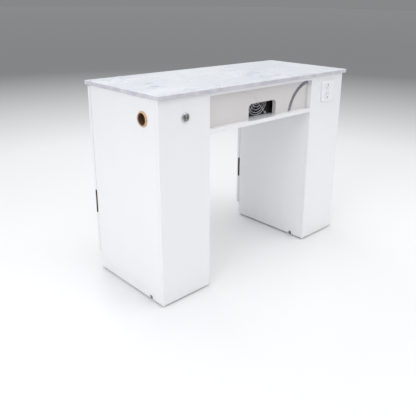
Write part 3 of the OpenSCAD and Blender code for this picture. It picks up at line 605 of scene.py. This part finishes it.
def make_switch_button():
    """A turned steel button: a slightly crowned face with fine concentric grooves, and a stem behind it."""
    low, high = corners("switch_button")
    centre = middle("switch_ring")
    grooved, groove, grooves, crown = 0.0092, 0.00012, 14, 0.0003
    radius, depth, stem, length = 0.011, 0.014, 0.004, high.y - low.y
    outline = [(0.0, 0.0)]
    for k in range(1, 2 * grooves):
        reach = grooved * k / (2 * grooves)
        outline.append((reach, crown * (reach / grooved) ** 2 + (groove if k % 2 else 0.0)))
    outline += [(0.0098, 0.0005), (0.0106, 0.0009), (radius, 0.0016), (radius, depth), (stem, depth)]
    outline += [(stem, length), (0.0, length)]
    turned = lathe(outline, (centre.x, low.y, centre.z), ALONG_Y, closed=False)
    add_piece("switch_button_turned", *turned, "switch_face", "switch_button", "switch_button", 30.0)


BLADES, HUB, TIP = 7, 0.029, 0.0545
BLADE_ROOT = 0.001
BLADE_STATIONS, BLADE_POINTS = 9, 10
BLADE_MIDDLE = 0.013
BLADE_SWEEP = 0.25


def blade_section(share, start):
    """A blade's closed outline at one radius. share is 0 at the hub and 1 at the tip."""
    radius = HUB - BLADE_ROOT + (TIP - HUB + BLADE_ROOT) * share
    pitch = math.radians(52 - 20 * share)
    chord = 0.021 + 0.007 * share
    ring = []
    for side in (1, -1):
        for k in range(BLADE_POINTS):
            t = k / (BLADE_POINTS - 1) if side > 0 else 1 - k / (BLADE_POINTS - 1)
            half = 0.0011 * math.sqrt(math.sin(math.pi * min(max(t, 0.03), 0.97))) + 0.0001
            camber = 0.0022 * math.sin(math.pi * t)
            along = (t - 0.5) * chord
            off = camber + side * half
            sweep = along * math.cos(pitch) - off * math.sin(pitch)
            depth = BLADE_MIDDLE + along * math.sin(pitch) + off * math.cos(pitch)
            angle = start + sweep / radius + BLADE_SWEEP * share
            ring.append(Vector((radius * math.cos(angle), depth, radius * math.sin(angle))))
    return ring


def make_rotor():
    """The fan's rotor: seven cambered, twisted blades on a rounded hub, with an axle behind it."""
    front, rear = (corner[1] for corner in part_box("fan_rotor"))
    centre = middle("fan_rotor")
    spot = Vector((centre.x, front, centre.z))
    cap, hub_length, axle, length = 0.012, 0.026, 0.0025, rear - front
    outline = [(0.0, 0.0), (cap, 0.0), (HUB - 0.004, 0.0004), (HUB, 0.0042), (HUB, hub_length),
               (axle, hub_length), (axle, length), (0.0, length)]
    parts = [lathe(fillet(outline, 0.0018, closed=False), spot, ALONG_Y, closed=False)]
    for start in circle(BLADES):
        shares = [station / (BLADE_STATIONS - 1) for station in range(BLADE_STATIONS)]
        parts.append(loft([[spot + point for point in blade_section(share, start)] for share in shares]))
    add_piece("fan_rotor_moulded", *joined(*parts), "black_plastic", "fan_rotor", "fan_rotor", 35.0)


def make_guard():
    """The fan's wire guard: five rings of wire on four diagonal spokes, with a flat ear round each screw."""
    low, high = corners("fan_guard")
    centre = middle("fan_guard")
    wire, spoke, screw_reach = 0.001, 0.0008, 0.0525
    rings_at, seat = low.y + wire, high.y - 0.0009
    parts = []
    for radius in (0.014, 0.025, 0.036, 0.047, 0.056):
        section = [(radius + wire * math.cos(a), wire * math.sin(a)) for a in circle(12)]
        parts.append(lathe(section, (centre.x, rings_at, centre.z), ALONG_Y))
    for sx, sz in QUADRANTS:
        outwards = Vector((sx, 0, sz)).normalized()
        beside = Vector((-sz, 0, sx)).normalized()
        rings = []
        for reach, share in ((0.013, 0.6), (0.0135, 1.0), (0.0695, 1.0), (0.0700, 0.6)):
            point = Vector((centre.x, seat, centre.z)) + outwards * reach
            radius = spoke * share
            rings.append([point + beside * (radius * math.cos(a)) + Vector((0, radius * math.sin(a), 0))
                          for a in circle(12)])
        parts.append(loft(rings))
        ear = [(0.0023, -0.0008), (0.0045, -0.0008), (0.0045, 0.0008), (0.0023, 0.0008)]
        place = (centre.x + sx * screw_reach, seat, centre.z + sz * screw_reach)
        parts.append(lathe(fillet(ear, 0.0005, 3), place, ALONG_Y, 32))
    add_piece("fan_guard_wire", *joined(*parts), "chrome", "carcass", "fan_guard", look="guard_wire_painted_light")


def make_outlet_cover():
    """The outlet's cover plate: round corners, rounded edges and an opening round each socket's face."""
    low, high = corners("outlet_plate")
    centre = middle("outlet_plate")
    pitch, face_radius, face_height, clearance = 0.0389, 0.0172, 0.0284, 0.0003
    corner, edge, arc_steps = 0.012, 0.0018, 16
    reach = face_radius + clearance
    flat = math.asin((face_height / 2 + clearance) / reach)

    def opening(offset):
        """Two arcs, joined by flats at the top and bottom."""
        points = []
        for start, end in ((-flat, flat), (math.pi - flat, math.pi + flat)):
            for k in range(arc_steps + 1):
                angle = start + (end - start) * k / arc_steps
                points.append((reach * math.cos(angle), offset + reach * math.sin(angle)))
        return points

    outlines = [round_square((high.x - low.x) / 2, corner)] + [opening(side * pitch / 2) for side in (-1, 1)]
    plate = rounded_plate(outlines, high.y - low.y, edge)
    upright = Matrix.Rotation(math.radians(90), 4, "X")
    plate.transform(Matrix.Translation((centre.x, high.y, centre.z)) @ upright)
    finish_piece("outlet_cover", plate, "white_plastic", "carcass", "outlet_plate")


# ---------------------------------------------------------------- stage, lights and camera

FLOOR_REACH = 60.0
FLOOR_FAR_SHADE = (0.20, 0.20, 0.205)
FLOOR_SHADE_FADE = (2.0, 6.0)
SKY_LOW = (0.244, 0.245, 0.249, 1.0)
SKY_HIGH = (0.76, 0.77, 0.785, 1.0)
SKY_FULL = 0.55
CAMERA_AT = (-1.4764, -1.4830, 1.0509)
CAMERA_YAW, CAMERA_PITCH, CAMERA_ROLL = 44.63, 18.10, 0.75
CAMERA_LENS = 44.30
CAMERA_SHIFT = (-0.04, -0.10)


def make_floor():
    """A plain pale studio floor, a little glossy, with painted shade that darkens it far away."""
    mesh = bpy.data.meshes.new("floor")
    corners = [(x * FLOOR_REACH, y * FLOOR_REACH, 0.0) for x, y in ((-1, -1), (1, -1), (1, 1), (-1, 1))]
    mesh.from_pydata(corners, [], [(0, 1, 2, 3)])
    floor = bpy.data.objects.new("floor", mesh)
    scene.collection.objects.link(floor)
    s = Shader("floor_paper")
    length = s.nodes.new("ShaderNodeVectorMath")
    length.operation = "LENGTH"
    s.links.new(s.place, length.inputs[0])
    paper = s.mix(s.noise(0.8, 1.0), (0.78, 0.78, 0.785), (0.80, 0.80, 0.80))
    # Painted shade: the floor's colour darkens from 2 to 6 m out, for light that falls off away from the
    # table.
    far = s.span(length.outputs["Value"], *FLOOR_SHADE_FADE)
    s.set(Base_Color=s.mix(far, paper, FLOOR_FAR_SHADE), Roughness=0.34)
    mesh.materials.append(s.material)


def add_softbox(name, place, aim, size, power, colour=(1.0, 1.0, 1.0)):
    """A rectangular area light that faces a point."""
    light = bpy.data.lights.new(name, "AREA")
    light.shape = "RECTANGLE"
    light.size, light.size_y = size
    light.energy = power
    light.color = colour
    lamp = bpy.data.objects.new(name, light)
    lamp.location = place
    lamp.rotation_euler = (Vector(aim) - Vector(place)).to_track_quat("-Z", "Y").to_euler()
    scene.collection.objects.link(lamp)


def make_lights():
    """Soft boxes above, at the left, in front and behind, and a dome that is darker at the horizon."""
    add_softbox("top_box", (0.2, -0.4, 3.2), (0.0, 0.0, 0.5), (3.6, 3.0), 44.0)
    add_softbox("left_box", (-3.4, -0.6, 2.0), (0.0, 0.0, 0.4), (2.6, 2.4), 47.0, (0.95, 0.965, 1.0))
    add_softbox("front_box", (2.2, -3.4, 2.0), (0.1, 0.0, 0.4), (2.6, 2.4), 33.0, (1.0, 0.99, 0.975))
    add_softbox("back_box", (0.6, 3.5, 3.5), (0.0, 0.0, 0.4), (3.2, 2.4), 40.0)
    world = bpy.data.worlds.new("studio")
    world.use_nodes = True
    nodes, links = world.node_tree.nodes, world.node_tree.links
    height = nodes.new("ShaderNodeSeparateXYZ")
    links.new(nodes.new("ShaderNodeTexCoord").outputs["Generated"], height.inputs[0])
    rise = nodes.new("ShaderNodeMapRange")
    rise.interpolation_type = "SMOOTHSTEP"
    rise.inputs["From Min"].default_value = 0.0
    rise.inputs["From Max"].default_value = SKY_FULL
    links.new(height.outputs["Z"], rise.inputs["Value"])
    dome = nodes.new("ShaderNodeMix")
    dome.data_type = "RGBA"
    dome.inputs[MIX_A].default_value = SKY_LOW
    dome.inputs[MIX_B].default_value = SKY_HIGH
    links.new(rise.outputs[0], dome.inputs[MIX_SHARE])
    links.new(dome.outputs[MIX_RESULT], nodes["Background"].inputs["Color"])
    scene.world = world
    scene.view_settings.view_transform = "Standard"


def make_camera():
    """The photograph's viewing angle, turned from yaw, pitch and roll into a camera's axes."""
    yaw, pitch, roll = (math.radians(a) for a in (CAMERA_YAW, CAMERA_PITCH, CAMERA_ROLL))
    ahead = Vector((math.sin(yaw) * math.cos(pitch), math.cos(yaw) * math.cos(pitch), -math.sin(pitch)))
    level = Vector((math.cos(yaw), -math.sin(yaw), 0.0))
    above = level.cross(ahead)
    right = level * math.cos(roll) + above * math.sin(roll)
    up = above * math.cos(roll) - level * math.sin(roll)
    data = bpy.data.cameras.new("camera")
    data.sensor_width = 36.0
    data.lens = CAMERA_LENS
    data.shift_x, data.shift_y = CAMERA_SHIFT
    camera = bpy.data.objects.new("camera", data)
    turn = Matrix((right, up, -ahead)).transposed().to_4x4()
    camera.matrix_world = Matrix.Translation(CAMERA_AT) @ turn
    scene.collection.objects.link(camera)
    scene.camera = camera


make_camera()
make_floor()
make_lights()
dress_cad_nodes()
make_grommet()
make_switch_ring()
make_switch_button()
make_rotor()
make_guard()
make_outlet_cover()
